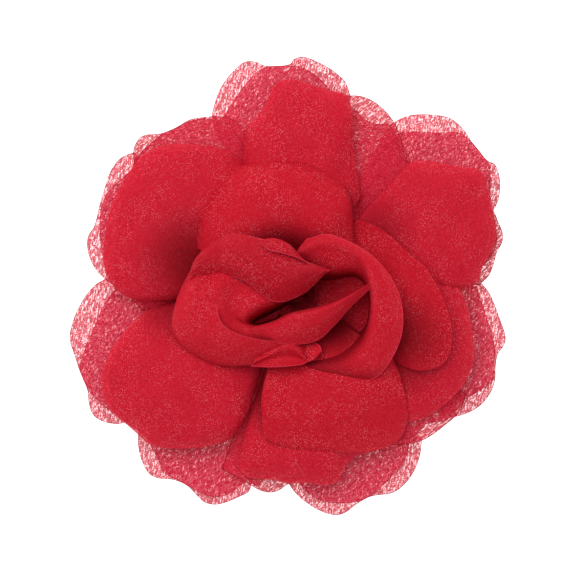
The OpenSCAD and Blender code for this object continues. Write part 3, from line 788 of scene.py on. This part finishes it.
# The spring: a leg under the upper jaw, three and a half turns round the pin, a leg on the lower jaw.
springLook = {"wire": 0.8, "leg": 12, "coil": 1.7, "half": 2.3, "press": 2.65, "turns": 3.5, "steps": 18,
              "legSteps": 6}


def wirePiece(name, points, radius):
    beginMesh()
    bpy.ops.curve.primitive_nurbs_path_add()
    path = bpy.context.object
    path.data.splines.clear()
    line = path.data.splines.new("NURBS")
    line.points.add(len(points) - 1)
    for point, place in zip(line.points, points):
        point.co = (*place, 1)
    line.order_u = 4
    line.use_endpoint_u = True
    line.resolution_u = 3
    path.data.dimensions = "3D"
    path.data.bevel_depth = radius
    path.data.bevel_resolution = 3
    path.data.use_fill_caps = True
    bpy.ops.object.convert(target="MESH")
    wire = bpy.context.object
    bpy.ops.object.mode_set(mode="EDIT")
    bpy.ops.mesh.select_all(action="SELECT")
    bpy.ops.mesh.remove_doubles(threshold=1e-6)
    bpy.ops.mesh.normals_make_consistent(inside=False)
    return settle(wire, name, 50)


def springPoints():
    look = springLook
    low, high = boxOf("hinge_pin")
    hinge = (low + high) / 2
    coil, half, spread = look["coil"], look["half"], look["press"] - look["coil"]
    points = []
    for k in range(look["legSteps"]):
        out = 1 - k / look["legSteps"]
        points.append((look["leg"] * out, -half, coil + spread * out))
    coilSteps = int(look["turns"] * look["steps"])
    for k in range(coilSteps + 1):
        done = k / coilSteps
        angle = 2 * math.pi * look["turns"] * done
        points.append((-coil * math.sin(angle), half * (2 * done - 1), coil * math.cos(angle)))
    for k in range(1, look["legSteps"] + 1):
        out = k / look["legSteps"]
        points.append((look["leg"] * out, half, -coil - spread * out))
    return [hinge + Vector(p) * mm for p in points]


spring = wirePiece("jaw_spring_wire", springPoints(), springLook["wire"] / 2 * mm)
spring.data.materials.append(steelMaterial("hard_drawn_spring_wire", 0.3, 0.55))
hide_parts("jaw_spring")
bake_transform(spring)
print("made the pin and the spring")

# Bonded polyester thread: three strands laid up together, with a soft waxy shine along each strand.
threadLook = {"strand": 0.56, "lay": 0.3, "pitch": 2.4, "strands": 3, "foot": 8.5, "head": 15.2,
              "knotWide": 0.85, "knotWire": 0.26, "tone": ("#8a0e1a", "#b81c30"), "fibreMm": 0.12}


def threadMaterial():
    mat = newMaterial("bonded_polyester_thread")
    place = addNode(mat, "ShaderNodeTexCoord").outputs["Object"]
    fibres = noiseOfSize(mat, place, threadLook["fibreMm"], {"Detail": 2.0})
    tone = mixTones(mat, fibres, srgb(threadLook["tone"][0]), srgb(threadLook["tone"][1]))
    relief = reliefOf(mat, fibres, 0.3, 0.05)
    return surface(mat, {"Base Color": tone, "Normal": relief, "Roughness": 0.55,
                         "Specular IOR Level": 0.3})


def twinOf(piece, move):
    twin = piece.copy()
    twin.data = piece.data.copy()
    bpy.context.collection.objects.link(twin)
    twin.data.transform(move)
    return twin


def makeThread():
    look = threadLook
    steps, knotSteps = 48, 60
    tall = look["head"] - look["foot"]
    strand = []
    for k in range(steps + 1):
        angle = 2 * math.pi * tall / look["pitch"] * k / steps
        strand.append((look["lay"] * mm * math.cos(angle), look["lay"] * mm * math.sin(angle),
                       (look["foot"] + tall * k / steps) * mm))
    first = wirePiece("thread_strand", strand, look["strand"] / 2 * mm)
    pieces = [first]
    for turn in range(1, look["strands"]):
        pieces.append(twinOf(first, Matrix.Rotation(2 * math.pi * turn / look["strands"], 4, "Z")))
    knot = []  # three turns of thread drawn tight
    for k in range(knotSteps):
        angle = 6 * math.pi * k / knotSteps
        wide = (look["knotWide"] + 0.1 * math.sin(1.5 * angle)) * mm
        knot.append((wide * math.cos(angle), wide * math.sin(angle),
                     (look["foot"] + 0.3 + 0.18 * math.sin(angle * 2 / 3)) * mm))
    lowKnot = wirePiece("thread_knot", knot, look["knotWire"] * mm)
    highKnot = twinOf(lowKnot, Matrix.Translation((0, 0, (tall - 0.5) * mm)))
    beginMesh()
    for piece in pieces + [lowKnot, highKnot]:
        piece.select_set(True)
    bpy.context.view_layer.objects.active = first
    bpy.ops.object.join()
    return settle(bpy.context.object, "binding_thread_laid", 60)


thread = makeThread()
thread.data.materials.append(threadMaterial())
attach(thread, "flower")
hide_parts("binding_thread")
print("made the thread")

stageLook = {"floorEmit": 1.15, "world": 0.52, "keyWatts": 8.0, "keySize": 0.9, "frameMm": 138.24,
             "rimMm": 16, "cameraM": 1.2, "cameraShiftMm": -0.48}
bpy.ops.object.select_all(action="DESELECT")
bpy.ops.mesh.primitive_plane_add(size=6, location=(0, 0, -0.0001))
floor = bpy.context.object
floor.name = "paleFloor"
floorMat = newMaterial("white_acrylic_light_table")
surface(floorMat, {"Base Color": (0.9, 0.9, 0.9, 1), "Roughness": 0.6, "Emission Color": (1, 1, 1, 1),
                   "Emission Strength": stageLook["floorEmit"]})
floor.data.materials.append(floorMat)

world = bpy.data.worlds.new("softStudio")
bpy.context.scene.world = world
world.use_nodes = True
world.node_tree.nodes["Background"].inputs[0].default_value = (1, 1, 1, 1)
world.node_tree.nodes["Background"].inputs[1].default_value = stageLook["world"]


def softBox(name, place, watts, size):
    lamp = bpy.data.lights.new(name, "AREA")
    lamp.energy = watts
    lamp.size = size
    holder = bpy.data.objects.new(name, lamp)
    bpy.context.collection.objects.link(holder)
    holder.location = place
    holder.rotation_euler = (Vector((0, 0, 0.02)) - Vector(place)).to_track_quat("-Z", "Y").to_euler()


softBox("keyLight", (-0.2, 0.35, 1.0), stageLook["keyWatts"], stageLook["keySize"])

cameraData = bpy.data.cameras.new("camera")
camera = bpy.data.objects.new("camera", cameraData)
bpy.context.collection.objects.link(camera)
camera.location = (0, stageLook["cameraShiftMm"] * mm, stageLook["cameraM"])
# the picture is frameMm wide at the height of the petals' rims, on a sensor of 36 mm
cameraData.lens = 36 * (stageLook["cameraM"] - stageLook["rimMm"] * mm) / (stageLook["frameMm"] * mm)
cameraData.clip_start = 0.01
bpy.context.scene.camera = camera
bpy.context.scene.view_settings.view_transform = "Standard"
